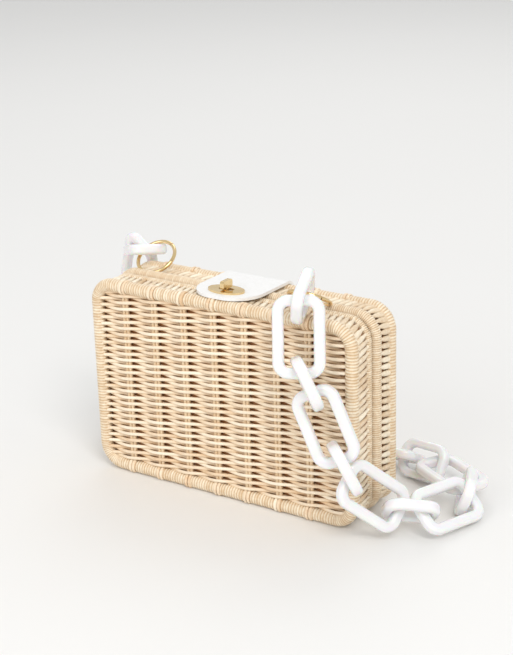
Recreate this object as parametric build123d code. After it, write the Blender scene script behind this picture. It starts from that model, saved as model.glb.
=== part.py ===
"""A small rattan box bag: two woven trays hinged along the bottom, a leather flap with a turn lock, and a link strap.

Units are millimetres. X is the bag's width, Y its depth with the front at -Y, and Z is up. The origin is on the
surface that the bag stands on, midway along its width, in the plane where the two trays meet.
"""

import os
from math import cos, radians, sin

from build123d import *

# The two trays
WIDTH = 210.0
HEIGHT = 140.0
FRONT_DEPTH = 27.0
BACK_DEPTH = 29.0
PARTING_GAP = 2.0
CORNER_RADIUS = 18.0
BORDER_RADIUS = 4.5
BACK_RIM_RADIUS = 4.5
FRONT_RIM_RADIUS = 3.0
SIDE_INSET = 2.0
SIDE_THICKNESS = 2.4
PANEL_THICKNESS = 7.0
WOVEN_FIT = 0.05

# The upright stakes that the front and back are woven on, in pairs
STAKE_PAIRS = 7
STAKE_PITCH = 24.2
STAKE_SHIFT = -4.0
STAKE_RADIUS = 1.2
STAKE_SPREAD = 2.7

# The cane loops that hinge the trays
HINGE_SPACING = 120.0
HINGE_WIDTH = 8.0
HINGE_LOOP_THICKNESS = 1.0
HINGE_CLEARANCE = 0.05

# The leather flap
FLAP_WIDTH = 49.0
FLAP_THICKNESS = 2.0
FLAP_FRONT_Y = -25.0
FLAP_LIFT = 0.3
FLAP_TAIL_LENGTH = 30.0
FLAP_TIP_RADIUS = 20.0
FLAP_BEND_GAP = 0.1
FLAP_RIVET_SPACING = 28.0
RIVET_RADIUS = 1.2
RIVET_HEAD_RADIUS = 2.6
RIVET_HEAD_THICKNESS = 0.5
WASHER_RADIUS = 3.4
WASHER_THICKNESS = 0.6
RIVET_FIT = 0.05

# The turn lock
LOCK_Y = -12.0
LOCK_PLATE_LENGTH = 27.0
LOCK_PLATE_WIDTH = 16.0
LOCK_PLATE_THICKNESS = 1.2
LOCK_SLOT_LENGTH = 11.0
LOCK_SLOT_WIDTH = 4.8
LOCK_BASE_LENGTH = 24.0
LOCK_BASE_WIDTH = 9.0
LOCK_BASE_THICKNESS = 0.8
LOCK_RIVET_SPACING = 16.0
POST_RADIUS = 2.2
POST_TOP_GAP = 0.2
KNOB_PIN_RADIUS = 1.3
KNOB_PIN_LENGTH = 3.0
KNOB_PIN_CLEARANCE = 0.05
KNOB_COLLAR_RADIUS = 2.4
KNOB_COLLAR_HEIGHT = 1.0
PADDLE_LENGTH = 10.0
PADDLE_THICKNESS = 3.0
PADDLE_HEIGHT = 5.6

# The two gate rings that carry the strap
RING_RADIUS = 13.7
RING_WIRE_RADIUS = 1.3
RING_SEAT_DEPTH = 2.0
RING_SEAT_CLEARANCE = 0.15
LEFT_RING_X = -79.0
LEFT_RING_ANGLE = 36.0
LEFT_GATE_START = 0.0
RIGHT_RING_X = 60.0
RIGHT_RING_ANGLE = 148.0
RIGHT_GATE_START = -30.0
GATE_ANGLE = 62.0
GATE_GAP = 0.6
GATE_PIN_RADIUS = 0.5
GATE_PIN_CLEARANCE = 0.05

# The strap: large and small links by turns
LARGE_LINK_LENGTH = 52.0
LARGE_LINK_WIDTH = 33.0
LARGE_LINK_BAR = 7.2
LARGE_LINK_THICKNESS = 6.6
SMALL_LINK_LENGTH = 36.0
SMALL_LINK_WIDTH = 27.0
SMALL_LINK_BAR = 6.0
SMALL_LINK_THICKNESS = 7.4
LINK_CORNER_RADIUS = 7.0
LINK_EDGE_RADIUS = 2.4

# Where the strap lies: the X, Y and Z of each crossing of two links, and the roll of the link after it
STRAP_ROUTE = (
    (65.5, -17.0, 158.0, -80),
    (70.5, -35.5, 149.5, 25),
    (76.0, -44.5, 114.5, -50),
    (86.0, -43.0, 94.0, 10),
    (101.5, -43.5, 62.0, -50),
    (110.5, -39.5, 42.5, 60),
    (127.0, -17.5, 19.5, 45),
    (144.0, -3.5, 15.5, -40),
    (153.5, 30.0, 13.5, 70),
    (144.5, 50.0, 13.5, 0),
    (113.5, 67.5, 13.5, 60),
    (91.5, 69.5, 13.5, -30),
    (56.0, 67.5, 13.5, 60),
    (34.0, 66.0, 13.5, -30),
    (-1.5, 64.0, 13.5, 60),
    (-23.5, 62.5, 13.0, -30),
    (-59.0, 60.5, 13.5, 45),
    (-80.5, 58.5, 16.0, -70),
    (-110.0, 52.5, 35.0, 85),
    (-118.5, 49.5, 55.0, 0),
    (-122.0, 46.0, 90.5, 85),
    (-121.0, 45.0, 113.0, 10),
    (-106.0, 34.5, 143.0, 5),
    (-89.0, 21.0, 149.0, 0),
)
LYING_LOW_Z = 30.0
OVER_TOP_Z = 142.0

FRONT_BORDER_Y = -(FRONT_DEPTH - BORDER_RADIUS)
BACK_BORDER_Y = BACK_DEPTH - BORDER_RADIUS
FRONT_RIM_Y = -(PARTING_GAP / 2 + FRONT_RIM_RADIUS)
BACK_RIM_Y = PARTING_GAP / 2 + BACK_RIM_RADIUS
ROD_INSET = BORDER_RADIUS
ROD_TOP_Z = HEIGHT - ROD_INSET
SIDE_TOP_Z = HEIGHT - SIDE_INSET
STAKE_LENGTH = HEIGHT - 4 * BORDER_RADIUS - 2 * WOVEN_FIT

os.makedirs("parts", exist_ok=True)


def save(name, *solids):
    """Write one named piece, or a group of like pieces, to its own file."""
    shape = solids[0] if len(solids) == 1 else Compound(children=list(solids))
    export_step(shape, f"parts/{name}.step")


def outline(inset, y):
    """The bag's rounded outline, drawn in by inset, at depth y. It faces the front."""
    plane = Plane(origin=(0, y, HEIGHT / 2), x_dir=(1, 0, 0), z_dir=(0, -1, 0))
    return plane * RectangleRounded(WIDTH - 2 * inset, HEIGHT - 2 * inset, CORNER_RADIUS - inset)


def rod(radius, y):
    """A round rod bent into the bag's outline."""
    path = outline(ROD_INSET, y).wire()
    return sweep((path ^ 0) * Circle(radius), path=path)


def side(front_y, back_y, front_radius, back_radius):
    """The laced side wall between a tray's two rods."""
    wall = outline(SIDE_INSET, back_y) - outline(SIDE_INSET + SIDE_THICKNESS, back_y)
    band = extrude(wall, amount=back_y - front_y)
    return band - rod(front_radius + WOVEN_FIT, front_y) - rod(back_radius + WOVEN_FIT, back_y)


def stake_places():
    """The X of every stake, in pairs."""
    for pair in range(STAKE_PAIRS):
        middle = STAKE_SHIFT + (pair - (STAKE_PAIRS - 1) / 2) * STAKE_PITCH
        yield middle - STAKE_SPREAD / 2
        yield middle + STAKE_SPREAD / 2


def stakes(y, radius, length):
    """Upright cylinders of one length where a woven panel has its stakes."""
    return [Pos(x, y, HEIGHT / 2) * Cylinder(radius, length) for x in stake_places()]


def panel(y):
    """One woven panel, hugging its border rod and bored for its stakes."""
    plate = extrude(outline(ROD_INSET, y + PANEL_THICKNESS / 2), amount=PANEL_THICKNESS)
    plate = plate - rod(BORDER_RADIUS + WOVEN_FIT, y)
    for bore in stakes(y, STAKE_RADIUS + WOVEN_FIT, HEIGHT - 2 * BORDER_RADIUS):
        plate = plate - bore
    return plate


def along_x(x, y, z, radius, length):
    """A cylinder along X, centred at a point."""
    return Pos(x, y, z) * Rot(0, 90, 0) * Cylinder(radius, length)


def along_y(x, y, z, radius, length):
    """A cylinder along Y, centred at a point."""
    return Pos(x, y, z) * Rot(90, 0, 0) * Cylinder(radius, length)


def along_z(x, y, low, high, radius):
    """An upright cylinder from one height to another."""
    return Pos(x, y, (low + high) / 2) * Cylinder(radius, high - low)


# The cane hinge loops sit in two shallow seats on the bottom rods and turn on the back one
def hinge_places():
    return (-HINGE_SPACING / 2, HINGE_SPACING / 2)


def seats(y, radius):
    """What is left out of a bottom rod so that a loop lies flush round it."""
    depth = HINGE_LOOP_THICKNESS + HINGE_CLEARANCE
    width = HINGE_WIDTH + 2 * HINGE_CLEARANCE
    return [
        along_x(x, y, ROD_INSET, radius + 1, width) - along_x(x, y, ROD_INSET, radius - depth, width)
        for x in hinge_places()
    ]


def belt(growth):
    """The closed outline of a loop round both bottom rods, grown from their seats."""
    depth = HINGE_LOOP_THICKNESS + HINGE_CLEARANCE
    front = Pos(FRONT_RIM_Y, ROD_INSET) * Circle(FRONT_RIM_RADIUS - depth + growth)
    back = Pos(BACK_RIM_Y, ROD_INSET) * Circle(BACK_RIM_RADIUS - depth + growth)
    return make_hull(front.edges() + back.edges())


def hinge_loop(x):
    """One cane loop that ties the two trays together and lets the front one turn."""
    section = belt(HINGE_CLEARANCE + HINGE_LOOP_THICKNESS) - belt(HINGE_CLEARANCE)
    return Pos(x, 0, 0) * extrude(Plane.YZ * section, amount=HINGE_WIDTH / 2, both=True)


# Each ring is threaded under the lashing of the back rim and leans on what is beside it
def ring_plane(x, angle):
    """The plane of a ring: X to the right, and Y away from the rim at an angle above +Y."""
    y = BACK_RIM_Y + RING_RADIUS * cos(radians(angle))
    z = HEIGHT - RING_SEAT_DEPTH + RING_RADIUS * sin(radians(angle))
    return Plane(origin=(x, y, z), x_dir=(1, 0, 0), z_dir=(0, -sin(radians(angle)), cos(radians(angle))))


def ring_arc(radius, start, span):
    """Part of a ring's wire, from a starting angle, with its middle at the origin."""
    wire = revolve(Plane.XZ * Pos(RING_RADIUS, 0) * Circle(radius), Axis.Z, span)
    return Rot(0, 0, start) * wire


def gate_ring(start):
    """The ring's body, its gate and the gate's pin, with the ring flat at the origin."""
    end = start + GATE_ANGLE
    pivot = Rot(0, 0, start) * Pos(RING_RADIUS, 0, 0)
    reach = 2 * RING_RADIUS * sin(radians(GATE_ANGLE / 2))
    lap, half = 6.0, 2 * RING_WIRE_RADIUS
    room = RING_WIRE_RADIUS + 3 * GATE_PIN_CLEARANCE
    upper = Pos(0, 0, half / 2 - GATE_PIN_CLEARANCE / 2)
    lower = Pos(0, 0, -half / 2 + GATE_PIN_CLEARANCE / 2)
    eye = ring_arc(RING_WIRE_RADIUS, start - 2 * lap, 4 * lap) & (pivot * Cylinder(RING_WIRE_RADIUS, 2 * half))
    above = pivot * Pos(0, 0, half / 2 + GATE_PIN_CLEARANCE / 2) * Cylinder(2 * half, half)
    below = pivot * Pos(0, 0, -half / 2 - GATE_PIN_CLEARANCE / 2) * Cylinder(2 * half, half)

    nose = ring_arc(RING_WIRE_RADIUS, end - lap, 5 * lap) - pivot * Cylinder(reach + GATE_GAP / 2, 2 * half)
    body = ring_arc(RING_WIRE_RADIUS, end + 3 * lap, 360 - GATE_ANGLE - 3 * lap) + nose
    body = body - pivot * upper * Cylinder(room, half) + (eye & below)
    gate = ring_arc(RING_WIRE_RADIUS, start, GATE_ANGLE + lap) & (pivot * Cylinder(reach - GATE_GAP / 2, 2 * half))
    gate = gate - pivot * lower * Cylinder(room, half) + (eye & above)

    body = body - pivot * Cylinder(GATE_PIN_RADIUS, 2 * half)
    gate = gate - pivot * Cylinder(GATE_PIN_RADIUS + GATE_PIN_CLEARANCE, 2 * half)
    pin = pivot * Cylinder(GATE_PIN_RADIUS, 2 * RING_WIRE_RADIUS)
    return body, gate, pin


RINGS = {
    "left": (ring_plane(LEFT_RING_X, LEFT_RING_ANGLE), LEFT_GATE_START),
    "right": (ring_plane(RIGHT_RING_X, RIGHT_RING_ANGLE), RIGHT_GATE_START),
}
ring_room = [
    plane.location * ring_arc(RING_WIRE_RADIUS + RING_SEAT_CLEARANCE, 0, 360) for plane, _ in RINGS.values()
]
for place, (plane, start) in RINGS.items():
    body, gate, pin = gate_ring(start)
    save(f"{place}_ring", plane.location * body)
    save(f"{place}_ring_gate", plane.location * gate)
    save(f"{place}_ring_gate_pin", plane.location * pin)

# The lock's base is riveted through the front tray's top side, and the flap through the back panel
lock_rivet_places = [(x, LOCK_Y) for x in (-LOCK_RIVET_SPACING / 2, LOCK_RIVET_SPACING / 2)]
base_low = SIDE_TOP_Z
base_high = SIDE_TOP_Z + LOCK_BASE_THICKNESS
under_side = SIDE_TOP_Z - SIDE_THICKNESS
flap_low = HEIGHT + FLAP_LIFT
flap_high = flap_low + FLAP_THICKNESS
plate_high = flap_high + LOCK_PLATE_THICKNESS
post_high = plate_high + POST_TOP_GAP


def lock_rivet_holes(radius):
    """Upright cylinders where the lock's two rivets pass."""
    return [along_z(x, y, under_side - 2, base_high + 1, radius) for x, y in lock_rivet_places]


def oval(length, width, low, high):
    """A flat oval plate between two heights, over the lock."""
    return Pos(0, LOCK_Y, low) * extrude(Ellipse(length / 2, width / 2), amount=high - low)


base = oval(LOCK_BASE_LENGTH, LOCK_BASE_WIDTH, base_low, base_high)
base = base + along_z(0, LOCK_Y, base_low, post_high, POST_RADIUS) - lock_rivet_holes(RIVET_RADIUS + RIVET_FIT)
base = base - along_z(
    0, LOCK_Y, post_high - KNOB_PIN_LENGTH - KNOB_PIN_CLEARANCE, post_high, KNOB_PIN_RADIUS + KNOB_PIN_CLEARANCE
)
save("lock_base", base)

backplate = oval(LOCK_BASE_LENGTH, LOCK_BASE_WIDTH, under_side - WASHER_THICKNESS, under_side)
save("lock_backplate", backplate - lock_rivet_holes(RIVET_RADIUS + RIVET_FIT))

rivets = []
for x, y in lock_rivet_places:
    shank_low = under_side - WASHER_THICKNESS - RIVET_HEAD_THICKNESS
    shank = along_z(x, y, shank_low, base_high + RIVET_HEAD_THICKNESS, RIVET_RADIUS)
    top = along_z(x, y, base_high, base_high + RIVET_HEAD_THICKNESS, RIVET_HEAD_RADIUS)
    foot = along_z(x, y, shank_low, shank_low + RIVET_HEAD_THICKNESS, RIVET_HEAD_RADIUS)
    rivets.append(shank + top + foot)
save("lock_rivets", *rivets)

knob = along_z(0, LOCK_Y, post_high, post_high + KNOB_COLLAR_HEIGHT, KNOB_COLLAR_RADIUS)
knob = knob + along_z(0, LOCK_Y, post_high - KNOB_PIN_LENGTH, post_high, KNOB_PIN_RADIUS)
paddle = Box(PADDLE_THICKNESS, PADDLE_LENGTH, PADDLE_HEIGHT, align=(Align.CENTER, Align.CENTER, Align.MIN))
paddle = fillet(paddle.edges().filter_by(Axis.X), PADDLE_THICKNESS / 2)
knob = knob + Pos(0, LOCK_Y, post_high + KNOB_COLLAR_HEIGHT - PADDLE_THICKNESS / 4) * paddle
save("lock_knob", knob)

plate = oval(LOCK_PLATE_LENGTH, LOCK_PLATE_WIDTH, flap_high, plate_high)
slot = Pos(0, LOCK_Y, flap_low - 1) * extrude(
    SlotOverall(LOCK_SLOT_LENGTH, LOCK_SLOT_WIDTH), amount=plate_high - flap_low + 2
)
save("flap_lock_plate", plate - slot)

# The trays
save("front_border", rod(BORDER_RADIUS, FRONT_BORDER_Y))
save("front_rim", rod(FRONT_RIM_RADIUS, FRONT_RIM_Y) - seats(FRONT_RIM_Y, FRONT_RIM_RADIUS))
front_side = side(FRONT_BORDER_Y, FRONT_RIM_Y, BORDER_RADIUS, FRONT_RIM_RADIUS)
save("front_side", front_side - lock_rivet_holes(RIVET_RADIUS + RIVET_FIT))
save("front_weave", panel(FRONT_BORDER_Y))
save("front_stakes", *stakes(FRONT_BORDER_Y, STAKE_RADIUS, STAKE_LENGTH))

save("back_border", rod(BORDER_RADIUS, BACK_BORDER_Y))
save("back_rim", rod(BACK_RIM_RADIUS, BACK_RIM_Y) - seats(BACK_RIM_Y, BACK_RIM_RADIUS) - ring_room)
save("back_side", side(BACK_RIM_Y, BACK_BORDER_Y, BACK_RIM_RADIUS, BORDER_RADIUS) - ring_room)
save("back_stakes", *stakes(BACK_BORDER_Y, STAKE_RADIUS, STAKE_LENGTH))
for place, x in zip(("left", "right"), hinge_places()):
    save(f"{place}_hinge_loop", hinge_loop(x))

# The flap is one strap: its free end lifts at the crest of the back border, and its tail is riveted to the back
flap_back_y = BACK_BORDER_Y - FLAP_BEND_GAP
straight = flap_back_y - FLAP_FRONT_Y
flap = Pos(0, (flap_back_y + FLAP_FRONT_Y) / 2, flap_low) * Box(
    FLAP_WIDTH, straight, FLAP_THICKNESS, align=(Align.CENTER, Align.CENTER, Align.MIN)
)
flap = fillet(flap.edges().filter_by(Axis.Z).group_by(Axis.Y)[0], FLAP_TIP_RADIUS)
save("flap", flap - slot)

bend_inner = BORDER_RADIUS + FLAP_LIFT
bend_outer = bend_inner + FLAP_THICKNESS
tail_low = ROD_TOP_Z - FLAP_TAIL_LENGTH
tail_mid_y = BACK_BORDER_Y + (bend_inner + bend_outer) / 2
bend = along_x(0, BACK_BORDER_Y, ROD_TOP_Z, bend_outer, FLAP_WIDTH)
bend = bend - along_x(0, BACK_BORDER_Y, ROD_TOP_Z, bend_inner, FLAP_WIDTH)
bend = bend & Pos(0, BACK_BORDER_Y + FLAP_BEND_GAP, ROD_TOP_Z) * Box(
    FLAP_WIDTH, bend_outer, bend_outer, align=(Align.CENTER, Align.MIN, Align.MIN)
)
tail = Pos(0, tail_mid_y, tail_low) * Box(
    FLAP_WIDTH, FLAP_THICKNESS, FLAP_TAIL_LENGTH, align=(Align.CENTER, Align.CENTER, Align.MIN)
)
flap_rivet_places = [(x, tail_low + WASHER_RADIUS * 2) for x in (-FLAP_RIVET_SPACING / 2, FLAP_RIVET_SPACING / 2)]
panel_inner_y = BACK_BORDER_Y - PANEL_THICKNESS / 2
panel_outer_y = BACK_BORDER_Y + PANEL_THICKNESS / 2
tail_outer_y = BACK_BORDER_Y + bend_outer


def flap_rivet_holes(radius):
    """Level cylinders where the flap's two rivets pass."""
    return [along_y(x, BACK_BORDER_Y, z, radius, 8 * PANEL_THICKNESS) for x, z in flap_rivet_places]


save("flap_tail", bend + tail - flap_rivet_holes(RIVET_RADIUS + RIVET_FIT))
save("back_weave", panel(BACK_BORDER_Y) - flap_rivet_holes(RIVET_RADIUS + RIVET_FIT))
rivets = []
washers = []
spacers = []
for x, z in flap_rivet_places:
    inner_y = panel_inner_y - WASHER_THICKNESS - RIVET_HEAD_THICKNESS
    outer_y = tail_outer_y + RIVET_HEAD_THICKNESS
    shank = along_y(x, (inner_y + outer_y) / 2, z, RIVET_RADIUS, outer_y - inner_y)
    head = along_y(x, outer_y - RIVET_HEAD_THICKNESS / 2, z, RIVET_HEAD_RADIUS, RIVET_HEAD_THICKNESS)
    foot = along_y(x, inner_y + RIVET_HEAD_THICKNESS / 2, z, RIVET_HEAD_RADIUS, RIVET_HEAD_THICKNESS)
    rivets.append(shank + head + foot)
    ring = Cylinder(WASHER_RADIUS, WASHER_THICKNESS) - Cylinder(RIVET_RADIUS + RIVET_FIT, WASHER_THICKNESS)
    washers.append(Pos(x, panel_inner_y - WASHER_THICKNESS / 2, z) * Rot(90, 0, 0) * ring)
save("flap_rivets", *rivets)
save("flap_rivet_washers", *washers)


def link(length, width, bar, thickness):
    """One closed strap link, lying flat, with its length along X."""
    outer = RectangleRounded(length, width, LINK_CORNER_RADIUS + bar / 2)
    inner = RectangleRounded(length - 2 * bar, width - 2 * bar, LINK_CORNER_RADIUS - bar / 2)
    solid = extrude(outer - inner, amount=thickness / 2, both=True)
    rims = solid.edges().group_by(Axis.Z)
    return fillet(rims[0] + rims[-1], LINK_EDGE_RADIUS)


def facing(middle):
    """The way a link faces before it is rolled: up on the floor and over the top, else away from the bag."""
    if middle.Z < LYING_LOW_Z or middle.Z > OVER_TOP_Z:
        return Vector(0, 0, 1)
    return Vector(0, -1 if middle.Y < 0 else 1, 0)


# The strap is a closed run of links from ring to ring, large ones and small ones by turns
large_link = link(LARGE_LINK_LENGTH, LARGE_LINK_WIDTH, LARGE_LINK_BAR, LARGE_LINK_THICKNESS)
small_link = link(SMALL_LINK_LENGTH, SMALL_LINK_WIDTH, SMALL_LINK_BAR, SMALL_LINK_THICKNESS)
for number, (start, end) in enumerate(zip(STRAP_ROUTE, STRAP_ROUTE[1:])):
    first, last = Vector(*start[:3]), Vector(*end[:3])
    along = (last - first).normalized()
    out = facing((first + last) / 2)
    normal = (out - along * out.dot(along)).normalized()
    lie = Plane(origin=(first + last) / 2, x_dir=along, z_dir=normal)
    shape = large_link if number % 2 else small_link
    save(f"strap_link_{number + 1:02d}", lie.location * Rot(-start[3], 0, 0) * shape)
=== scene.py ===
import math

import bpy
import numpy as np
from mathutils import Matrix, Vector


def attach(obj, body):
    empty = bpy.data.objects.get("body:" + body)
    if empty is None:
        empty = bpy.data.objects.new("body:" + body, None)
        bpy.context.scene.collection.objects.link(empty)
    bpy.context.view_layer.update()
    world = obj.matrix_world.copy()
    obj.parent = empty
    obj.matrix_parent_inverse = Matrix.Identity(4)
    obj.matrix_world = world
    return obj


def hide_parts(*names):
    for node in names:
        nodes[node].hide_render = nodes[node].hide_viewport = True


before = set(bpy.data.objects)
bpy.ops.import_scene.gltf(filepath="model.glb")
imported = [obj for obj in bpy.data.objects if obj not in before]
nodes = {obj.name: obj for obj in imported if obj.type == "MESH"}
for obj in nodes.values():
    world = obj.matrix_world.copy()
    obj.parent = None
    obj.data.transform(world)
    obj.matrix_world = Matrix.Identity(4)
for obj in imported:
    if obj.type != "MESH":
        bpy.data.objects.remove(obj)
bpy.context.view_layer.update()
random = np.random.default_rng(7)


# Stakes: pairs of thin round cane that stand upright in each panel, and that the weave goes round.
# They keep their CAD shape. Their cane is a little darker than the weave, as painted shade for the gaps where they
# show, and is mottled lengthwise.
def mottle_group():
    """Broad noise for shade and fine noise for height, on Object coordinates times Stretch."""
    group = bpy.data.node_groups.new("mottle", "ShaderNodeTree")
    group.interface.new_socket("Stretch", in_out="INPUT", socket_type="NodeSocketVector")
    group.interface.new_socket("Shade", in_out="OUTPUT", socket_type="NodeSocketFloat")
    group.interface.new_socket("Height", in_out="OUTPUT", socket_type="NodeSocketFloat")
    entry, leave = group.nodes.new("NodeGroupInput"), group.nodes.new("NodeGroupOutput")
    place = group.nodes.new("ShaderNodeTexCoord")
    stretch = group.nodes.new("ShaderNodeVectorMath")
    stretch.operation = "MULTIPLY"
    broad, fine = group.nodes.new("ShaderNodeTexNoise"), group.nodes.new("ShaderNodeTexNoise")
    broad.inputs["Scale"].default_value, broad.inputs["Detail"].default_value = 1.0, 3.0
    fine.inputs["Scale"].default_value, fine.inputs["Detail"].default_value = 6.0, 2.0
    link = group.links.new
    link(place.outputs["Object"], stretch.inputs[0])
    link(entry.outputs["Stretch"], stretch.inputs[1])
    link(stretch.outputs[0], broad.inputs["Vector"])
    link(stretch.outputs[0], fine.inputs["Vector"])
    link(broad.outputs["Fac"], leave.inputs["Shade"])
    link(fine.outputs["Fac"], leave.inputs["Height"])
    return group


mottle = mottle_group()


def surface(name, dark, light, stretch, roughness, bump=0.0, with_tone_and_shading=False, **sockets):
    """A material from dark to light by the mottle's shade, or by the mean of shade and the tone_and_shading
    attribute if with_tone_and_shading; that attribute holds random tone and, on some pieces, painted light and
    shade.
    """
    material = bpy.data.materials.new(name)
    material.use_nodes = True
    tree = material.node_tree
    shader = tree.nodes["Principled BSDF"]
    speck = tree.nodes.new("ShaderNodeGroup")
    speck.node_tree = mottle
    speck.inputs["Stretch"].default_value = stretch
    ramp = tree.nodes.new("ShaderNodeValToRGB")
    dark_end, light_end = ramp.color_ramp.elements
    dark_end.position, dark_end.color = 0.25, (*dark, 1)
    light_end.position, light_end.color = 0.75, (*light, 1)
    shade = speck.outputs["Shade"]
    if with_tone_and_shading:
        tone_and_shading = tree.nodes.new("ShaderNodeAttribute")
        tone_and_shading.attribute_name = "tone_and_shading"
        both = tree.nodes.new("ShaderNodeMath")
        both.operation = "ADD"
        mean = tree.nodes.new("ShaderNodeMath")
        mean.operation, mean.inputs[1].default_value = "MULTIPLY", 0.5
        tree.links.new(shade, both.inputs[0])
        tree.links.new(tone_and_shading.outputs["Fac"], both.inputs[1])
        tree.links.new(both.outputs[0], mean.inputs[0])
        shade = mean.outputs[0]
    tree.links.new(shade, ramp.inputs["Fac"])
    tree.links.new(ramp.outputs["Color"], shader.inputs["Base Color"])
    if bump:
        relief = tree.nodes.new("ShaderNodeBump")
        relief.inputs["Strength"].default_value, relief.inputs["Distance"].default_value = bump, 0.0004
        tree.links.new(speck.outputs["Height"], relief.inputs["Height"])
        tree.links.new(relief.outputs["Normal"], shader.inputs["Normal"])
    shader.inputs["Roughness"].default_value = roughness
    for socket, value in sockets.items():
        shader.inputs[socket.replace("_", " ")].default_value = value
    return material


def dress(material, *starts):
    """Gives the material to every node whose name begins with one of the starts."""
    for name, node in nodes.items():
        if name.startswith(starts):
            node.material_slots[0].material = material


dress(
    surface("stake_cane", (0.78, 0.56, 0.34), (0.93, 0.76, 0.54), (400, 400, 60), 0.5, 0.3),
    "front_stakes", "back_stakes",
)
stake_pitch, first_stake, stake_half_gap = 24.2, -4 - 3 * 24.2, 1.35


# Woven panels: in each row two strands of split cane pass a stake pair on opposite sides and swap places
# before the next. All the strands of a panel are one mesh, and each has a tone of its own, with painted
# light where it stands outward and painted shade where it passes inward behind a stake pair.
def tube_faces(rings, sides, closed):
    """The four-sided faces of a tube of rings, joined end to end where it is closed."""
    last = rings if closed else rings - 1
    ring = np.arange(last)[:, None]
    side = np.arange(sides)[None, :]
    after = (ring + 1) % rings
    beside = (side + 1) % sides
    corners = [ring * sides + side, after * sides + side, after * sides + beside, ring * sides + beside]
    return np.stack([c.reshape(-1) for c in np.broadcast_arrays(*corners)], axis=1)


tube_sides = 8


def tubes(paths, outward, widths, depths):
    """Oval tubes along many paths at once: paths and outward are (tube, ring, xyz), sizes are half sizes.
    A ring's point is path + width cos(a) across + depth sin(a) outward. Three faces close each end."""
    along = np.gradient(paths, axis=1)
    along /= np.linalg.norm(along, axis=2, keepdims=True)
    across = np.cross(along, outward)
    across /= np.linalg.norm(across, axis=2, keepdims=True)
    out = np.cross(across, along)
    turn = np.linspace(0, 2 * math.pi, tube_sides, endpoint=False)
    rings = paths[:, :, None, :] + (
        widths[..., None, None] * np.cos(turn)[:, None] * across[:, :, None, :]
        + depths[..., None, None] * np.sin(turn)[:, None] * out[:, :, None, :]
    )
    count, steps = paths.shape[:2]
    first_end = np.array([[0, 1, 2, 7], [7, 2, 3, 6], [6, 3, 4, 5]])
    last_end = first_end[:, ::-1] + (steps - 1) * tube_sides
    one = np.concatenate([tube_faces(steps, tube_sides, False), first_end, last_end])
    faces = (np.arange(count)[:, None, None] * steps * tube_sides + one[None]).reshape(-1, 4)
    return rings.reshape(-1, 3), faces


def make_piece(name, points, faces, tone_and_shading, material, body):
    """A smooth piece from points in millimetres, with a tone_and_shading value from 0 to 1 at each point: random
    tone, plus painted light and shade where the caller adds it.
    """
    mesh = bpy.data.meshes.new(name)
    mesh.from_pydata((points * 0.001).tolist(), [], faces.tolist())
    mesh.polygons.foreach_set("use_smooth", np.ones(len(faces), dtype=bool))
    layer = mesh.attributes.new("tone_and_shading", "FLOAT", "POINT")
    layer.data.foreach_set("value", np.asarray(tone_and_shading, dtype=np.float32))
    mesh.materials.append(material)
    piece = bpy.data.objects.new(name, mesh)
    bpy.context.scene.collection.objects.link(piece)
    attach(piece, body)
    return piece


def strand(x, row, side, middle_y, front):
    """One strand of a row: y = middle - 1.9 cos(a), z = row + 1.1 sin(a), a = half a turn per stake pitch."""
    wander = random.normal(0, 0.12, 8)
    sway = np.interp(x, np.linspace(-105, 105, 8), wander)
    angle = math.pi * (x + 4) / stake_pitch + side * math.pi
    y = middle_y - front * 1.9 * np.cos(angle)
    path = np.stack([x, y, row + 1.1 * front * np.sin(angle) + sway], axis=1)
    # The tone is random for each strand, plus 0.25 cos(a): painted light where the strand stands outward, painted
    # shade where it passes inward behind a stake pair.
    return path, np.clip(random.normal(0.55, 0.2), 0, 1) + 0.25 * np.cos(angle)


woven = surface("woven_cane", (0.78, 0.54, 0.32), (0.98, 0.86, 0.68), (90, 500, 500), 0.42, 0.3, True)
row_count, lowest_row, highest_row, strand_steps = 27, 10.6, 129.4, 96
strand_half_width, strand_half_depth = 1.18, 1.0
panels = (("front_shell", -22.5, 1, "front_weave"), ("back_shell", 24.5, -1, "back_weave"))
for shell, middle_y, front, node in panels:
    paths, tones_and_shading = [], []
    for row in np.linspace(lowest_row, highest_row, row_count):
        past_straight = max(abs(row - 70) - 52, 0)
        reach = 87 + math.sqrt(max(11.0**2 - past_straight**2, 1))
        x = np.linspace(-reach, reach, strand_steps)
        for side in (0, 1):
            path, tone_and_shading = strand(x, row, side, middle_y, front)
            paths.append(path)
            tones_and_shading.append(tone_and_shading)
    paths = np.array(paths)
    outward = np.zeros_like(paths)
    outward[..., 1] = -front
    size = np.ones(paths.shape[:2])
    points, faces = tubes(paths, outward, strand_half_width * size, strand_half_depth * size)
    tone_and_shading = np.repeat(np.array(tones_and_shading).reshape(-1), tube_sides)
    piece = make_piece(f"{shell}_weave", points, faces, tone_and_shading, woven, shell)
    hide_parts(node)


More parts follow.
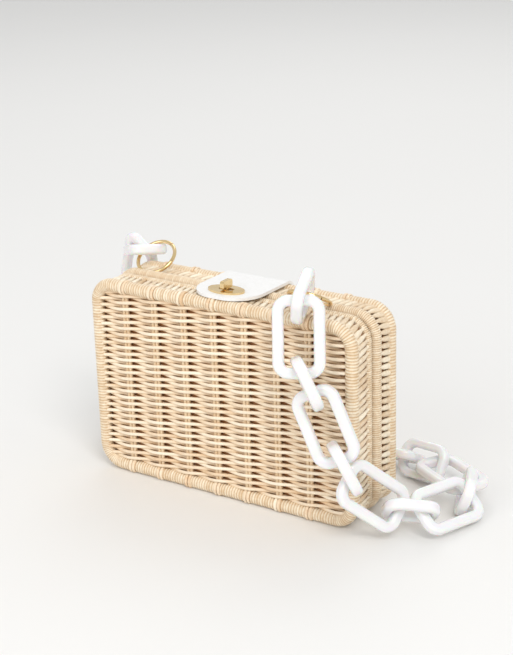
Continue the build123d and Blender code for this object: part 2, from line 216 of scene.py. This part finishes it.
# Panel backings: a thin sheet on the inside of each panel, cut to the bag's outline. It is painted shade:
# the warm dark of the bag's inside, shown between the strands.
def outline(inset, travel):
    """Points and outward ways on the bag's outline, drawn in by inset, at distances round the outside.
    It is a rounded rectangle 210 by 140 with corners of 18, begun at the foot of its right side."""
    corner, half_width, half_height = 18.0, 87.0, 52.0
    quarter = corner * math.pi / 2
    lengths = np.array([2 * half_height, quarter, 2 * half_width, quarter] * 2)
    starts = np.concatenate([[0], np.cumsum(lengths)])
    travel = np.mod(travel, starts[-1])
    x, z, turn = np.zeros_like(travel), np.zeros_like(travel), np.zeros_like(travel)
    middles = [(1, 1), (-1, 1), (-1, -1), (1, -1)]
    for part in range(4):
        straight = (travel >= starts[2 * part]) & (travel < starts[2 * part + 1])
        bend = (travel >= starts[2 * part + 1]) & (travel < starts[2 * part + 2])
        sign_x, sign_z = middles[part]
        before = lengths[2 * part] - (travel - starts[2 * part])
        angle = part * math.pi / 2
        run_x, run_z = math.sin(angle), -math.cos(angle)
        x = np.where(straight, sign_x * half_width + run_x * before, x)
        z = np.where(straight, sign_z * half_height + run_z * before, z)
        x = np.where(bend, sign_x * half_width, x)
        z = np.where(bend, sign_z * half_height, z)
        turn = np.where(straight, angle, turn)
        turn = np.where(bend, angle + (travel - starts[2 * part + 1]) / corner, turn)
    x = x + (corner - inset) * np.cos(turn)
    z = z + (corner - inset) * np.sin(turn) + 70
    return x, z, np.cos(turn), np.sin(turn)


round_length = 2 * (104 + 174) + 2 * math.pi * 18
# The sheet's warm dark brown is painted shade for the dark inside of the bag.
shade_backing = surface("painted_shade_backing", (0.45, 0.20, 0.08), (0.58, 0.29, 0.13), (900, 900, 900), 0.9, 0.2)
rim_points, half_backing = 120, 0.25
for shell, backing_y in (("front_shell", -19.3), ("back_shell", 21.3)):
    x, z, _, _ = outline(7.0, np.linspace(0, 669.1, rim_points, endpoint=False))
    front_face = np.stack([x, np.full_like(x, backing_y - half_backing), z], axis=1)
    back_face = front_face + np.array([0, 2 * half_backing, 0])
    middle = np.array([[0, backing_y - half_backing, 70], [0, backing_y + half_backing, 70]])
    points = np.concatenate([front_face, back_face, middle])
    index = np.arange(rim_points)
    after = (index + 1) % rim_points
    fronts = [[a, b, 2 * rim_points] for a, b in zip(index, after)]
    backs = [[b + rim_points, a + rim_points, 2 * rim_points + 1] for a, b in zip(index, after)]
    edges = [[b, a, a + rim_points, b + rim_points] for a, b in zip(index, after)]
    mesh = bpy.data.meshes.new(f"{shell}_lining")
    mesh.from_pydata((points * 0.001).tolist(), [], fronts + backs + edges)
    mesh.materials.append(shade_backing)
    piece = bpy.data.objects.new(f"{shell}_lining", mesh)
    bpy.context.scene.collection.objects.link(piece)
    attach(piece, shell)

# Bound rods: the four rods of the frame, each bound all round with fine cane. The bound radius is
# r - 0.6 (1 - |sin(pi t / pitch)|) at travel t. Each turn has its own tone, and painted shade darkens the groove at
# each of its seams.
wrapped = surface("wrapped_cane", (0.66, 0.45, 0.25), (0.96, 0.86, 0.68), (400, 400, 400), 0.4, 0.3, True)
rod_inset, rings_a_turn, rod_sides = 4.5, 4, 18
for node, shell, middle_y, radius, pitch in (
    ("front_border", "front_shell", -22.5, 4.5, 2.05),
    ("front_rim", "front_shell", -4.0, 3.0, 1.5),
    ("back_rim", "back_shell", 5.5, 4.5, 1.5),
    ("back_border", "back_shell", 24.5, 4.5, 2.05),
):
    turns = round(round_length / pitch)
    count = turns * rings_a_turn
    travel = np.arange(count) / rings_a_turn * (round_length / turns)
    x, z, way_x, way_z = outline(rod_inset, travel)
    bound = radius - 0.6 * (1 - np.abs(np.sin(math.pi * travel / (round_length / turns))))
    angle = np.linspace(0, 2 * math.pi, rod_sides, endpoint=False)
    points = np.empty((count, rod_sides, 3))
    points[..., 0] = x[:, None] + bound[:, None] * np.cos(angle) * way_x[:, None]
    points[..., 1] = middle_y + bound[:, None] * np.sin(angle)
    points[..., 2] = z[:, None] + bound[:, None] * np.cos(angle) * way_z[:, None]
    # Tone: a random value for each turn, less 0.9 at each seam, which is painted shade in the groove between two
    # turns.
    seam = np.abs(np.sin(math.pi * np.arange(count) / rings_a_turn))
    own_tone = np.repeat(random.normal(0.75, 0.1, turns), rings_a_turn)
    tone_and_shading = np.repeat(own_tone - 0.9 * (1 - seam), rod_sides)
    faces = tube_faces(count, rod_sides, True)[:, ::-1]
    piece = make_piece(f"{node}_binding", points.reshape(-1, 3), faces, tone_and_shading, wrapped, shell)
    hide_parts(node)

# Side walls: flat cane laced on a slant from border rod to rim rod, full by the border and with a row of
# holes by the rim, where its half width falls from 2.1 to 1. Behind it is a dark band, painted shade for
# the bag's inside seen through the holes.
lacing_steps, lacing_pitch, lacing_slant, band_points = 9, 4.7, 3.6, 160
for shell, from_y, to_y, node in (
    ("front_shell", -21.0, -3.5, "front_side"), ("back_shell", 23.0, 6.0, "back_side")
):
    count = round(round_length / lacing_pitch)
    share = np.linspace(0, 1, lacing_steps)
    travel = (np.arange(count) * round_length / count)[:, None] + lacing_slant * share[None, :]
    x, z, way_x, way_z = outline(3.3 - 0.5 * np.sin(math.pi * share)[None, :] + 0 * travel, travel)
    y = from_y + (to_y - from_y) * share[None, :] + 0 * travel
    paths = np.stack([x, y, z], axis=2)
    outward = np.stack([way_x, 0 * way_x, way_z], axis=2)
    widths = np.interp(share, [0, 0.5, 0.72, 0.9, 1], [2.1, 1.9, 1.0, 1.2, 1.9])[None, :] + 0 * travel
    points, faces = tubes(paths, outward, widths, 0.5 * widths + 0.35)
    tone_and_shading = np.repeat(np.clip(random.normal(0.65, 0.2, count), 0, 1), lacing_steps * tube_sides)
    piece = make_piece(f"{shell}_lacing", points, faces, tone_and_shading, wrapped, shell)
    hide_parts(node)

    # The band is a dark sheet of the backing colour, painted shade for the bag's inside seen through the holes.
    travel = np.linspace(0, round_length, band_points, endpoint=False)
    edges = []
    for inset, level in ((5.0, from_y), (5.0, to_y), (5.6, to_y), (5.6, from_y)):
        x, z, _, _ = outline(inset, travel)
        edges.append(np.stack([x, np.full_like(x, level), z], axis=1))
    points = np.stack(edges, axis=1).reshape(-1, 3)
    faces = tube_faces(band_points, len(edges), True)
    if to_y > from_y:
        faces = faces[:, ::-1]
    piece = make_piece(f"{shell}_wall_shade_backing", points, faces, np.zeros(len(points)), shade_backing, shell)

# Stake ends: each stake is bent over its border rod at both ends, and the tip is tucked in. It is a flat
# tube of cane on a circle of 4.75 round the rod, drawn in by 0.9 at each tip.
loop_steps, flat_half_width, flat_half_depth = 12, 1.15, 0.6
for shell, middle_y, front, _ in panels:
    turn = np.linspace(-0.25, 1.3, loop_steps) * math.pi
    round_rod = 4.75 - 0.9 * np.linspace(-1, 1, loop_steps) ** 6
    paths, outward = [], []
    for pair in range(7):
        for offset in (-stake_half_gap, stake_half_gap):
            for middle_z, up in ((135.5, 1), (4.5, -1)):
                x = first_stake + pair * stake_pitch + offset + 0.8 * (turn / math.pi)
                y = middle_y - front * round_rod * np.sin(turn)
                z = middle_z - up * round_rod * np.cos(turn)
                if up < 0:
                    z = np.maximum(z, 0.9)
                paths.append(np.stack([x, y, z], axis=1))
                outward.append(np.stack([0 * x, -front * np.sin(turn), -up * np.cos(turn)], axis=1))
    size = np.ones((len(paths), loop_steps))
    points, faces = tubes(np.array(paths), np.array(outward), flat_half_width * size, flat_half_depth * size)
    tone_and_shading = np.repeat(np.clip(random.normal(0.5, 0.2, len(paths)), 0, 1), loop_steps * tube_sides)
    piece = make_piece(f"{shell}_stake_ends", points, faces, tone_and_shading, woven, shell)

# Hinge loops: two bands of cane round both bottom rims, which let the front shell open.
# They keep their CAD shape and take the binding's cane.
dress(wrapped, "left_hinge_loop", "right_hinge_loop")

# Flap: one strip of white leather, riveted to the back shell and brought over the top to the lock.
# The strip and its tail keep their CAD shape. The leather has a fine grain and a low sheen.
leather = surface("white_leather", (0.83, 0.82, 0.80), (0.90, 0.89, 0.88), (700, 700, 700), 0.42, 0.25)
for name in ("flap", "flap_tail"):
    nodes[name].material_slots[0].material = leather

# Metal parts: the turn lock, the rivets and washers, and the two gated rings, all in polished pale gold.
# They keep their CAD shape.
dress(
    surface("pale_gold", (0.80, 0.58, 0.28), (0.90, 0.70, 0.40), (120, 120, 120), 0.2, Metallic=1.0),
    "lock_", "flap_lock_plate", "flap_rivet", "left_ring", "right_ring",
)

# Strap: a chain of moulded resin links, milky white with faint clouds, and glossy.
# The links keep their CAD shape.
dress(
    surface(
        "milky_resin", (0.90, 0.90, 0.90), (0.99, 0.99, 0.99), (45, 45, 45), 0.18,
        Coat_Weight=0.4, Coat_Roughness=0.05, Transmission_Weight=0.12, IOR=1.5,
        Subsurface_Weight=0.4, Subsurface_Scale=0.006,
    ),
    "strap_link",
)

# Studio: a pale floor without a horizon in the camera's view, a broad soft light from the right and above,
# two weaker ones from the front and the back, and a white surround.
bpy.ops.mesh.primitive_plane_add(size=40)
floor = bpy.context.object
floor.name = "floor"
floor.data.materials.append(surface("paper_floor", (0.83, 0.82, 0.80), (0.84, 0.83, 0.81), (2, 2, 2), 0.8))

world = bpy.data.worlds.new("studio")
bpy.context.scene.world = world
world.use_nodes = True
world.node_tree.nodes["Background"].inputs["Color"].default_value = (0.98, 0.99, 1.0, 1)
world.node_tree.nodes["Background"].inputs["Strength"].default_value = 0.72
bag_middle = Vector((0, 0, 0.07))
for name, place, size, power in (
    ("key", (1.5, -1.2, 1.9), 1.2, 26), ("front", (-0.3, -2.2, 1.2), 1.6, 12), ("back", (-0.6, 1.4, 1.8), 1.5, 8)
):
    light = bpy.data.lights.new(name, "AREA")
    light.shape, light.size, light.energy = "DISK", size, power
    lamp = bpy.data.objects.new(name, light)
    bpy.context.scene.collection.objects.link(lamp)
    lamp.location = place
    lamp.rotation_euler = (bag_middle - Vector(place)).to_track_quat("-Z", "Y").to_euler()

# Camera: turned to the right of the bag, raised above it, and rolled a little.
# Its axes are worked out from those three angles.
turned, raised, rolled = math.radians(34.5), math.radians(19.38), math.radians(-1.69)
back = Vector((math.sin(turned) * math.cos(raised), -math.cos(turned) * math.cos(raised), math.sin(raised)))
right = Vector((math.cos(turned), math.sin(turned), 0))
upward = back.cross(right)
side = math.cos(rolled) * right + math.sin(rolled) * upward
top = -math.sin(rolled) * right + math.cos(rolled) * upward
camera = bpy.data.objects.new("camera", bpy.data.cameras.new("camera"))
bpy.context.scene.collection.objects.link(camera)
camera.matrix_world = Matrix.Translation((0.5461, -0.7734, 0.4458)) @ Matrix((side, top, back)).transposed().to_4x4()
camera.data.lens = 83.3
bpy.context.scene.camera = camera
bpy.context.scene.view_settings.view_transform = "Standard"
